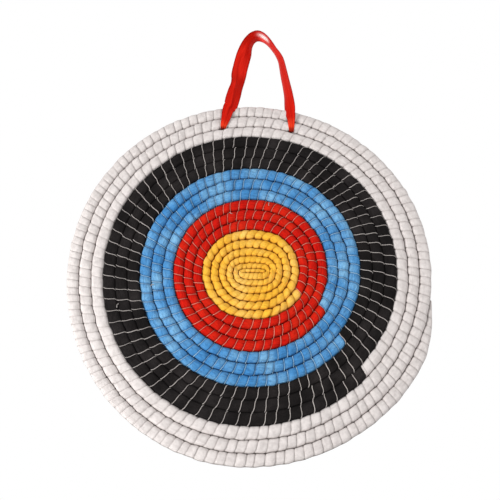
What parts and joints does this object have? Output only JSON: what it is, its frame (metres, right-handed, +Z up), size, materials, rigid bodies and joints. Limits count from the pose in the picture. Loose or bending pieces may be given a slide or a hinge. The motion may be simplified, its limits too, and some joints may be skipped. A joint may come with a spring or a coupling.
{
  "type": "archery target boss",
  "caption": "Round straw archery boss: a flat spiral of straw rope in yellow, red, blue, black and white cloth sleeves, hung by a red ribbon loop.",
  "frame": {"origin": "the point under the ribbon's crown where the boss hangs", "axes": "+Z up, +Y from the face towards the back, so the face looks along -Y"},
  "size_m": [0.4938, 0.039, 0.6296],
  "materials": {
    "straw": "dry straw",
    "yellow_cloth": "matt cloth",
    "red_cloth": "matt cloth",
    "blue_cloth": "matt cloth",
    "black_cloth": "matt cloth",
    "white_cloth": "matt cloth",
    "sewing_thread": "twisted thread",
    "satin_ribbon": "satin"
  },
  "bodies": {
    "hanger": {"ribbon_loop": "satin_ribbon"},
    "boss": {"straw_core": "straw", "yellow_sleeve": "yellow_cloth", "red_sleeve": "red_cloth", "blue_sleeve": "blue_cloth", "black_sleeve": "black_cloth", "white_sleeve": "white_cloth", "sewing_thread": "sewing_thread", "ribbon_left_pass": "satin_ribbon", "ribbon_right_pass": "satin_ribbon", "ribbon_knot": "satin_ribbon"}
  },
  "joints": [
    {"name": "boss_swing", "type": "hinge", "parent": "hanger", "child": "boss", "pos_m": [0, 0, -0.15616], "axis": [-0.9996, 0, 0.0273], "range_deg": [0, 170]}
  ]
}
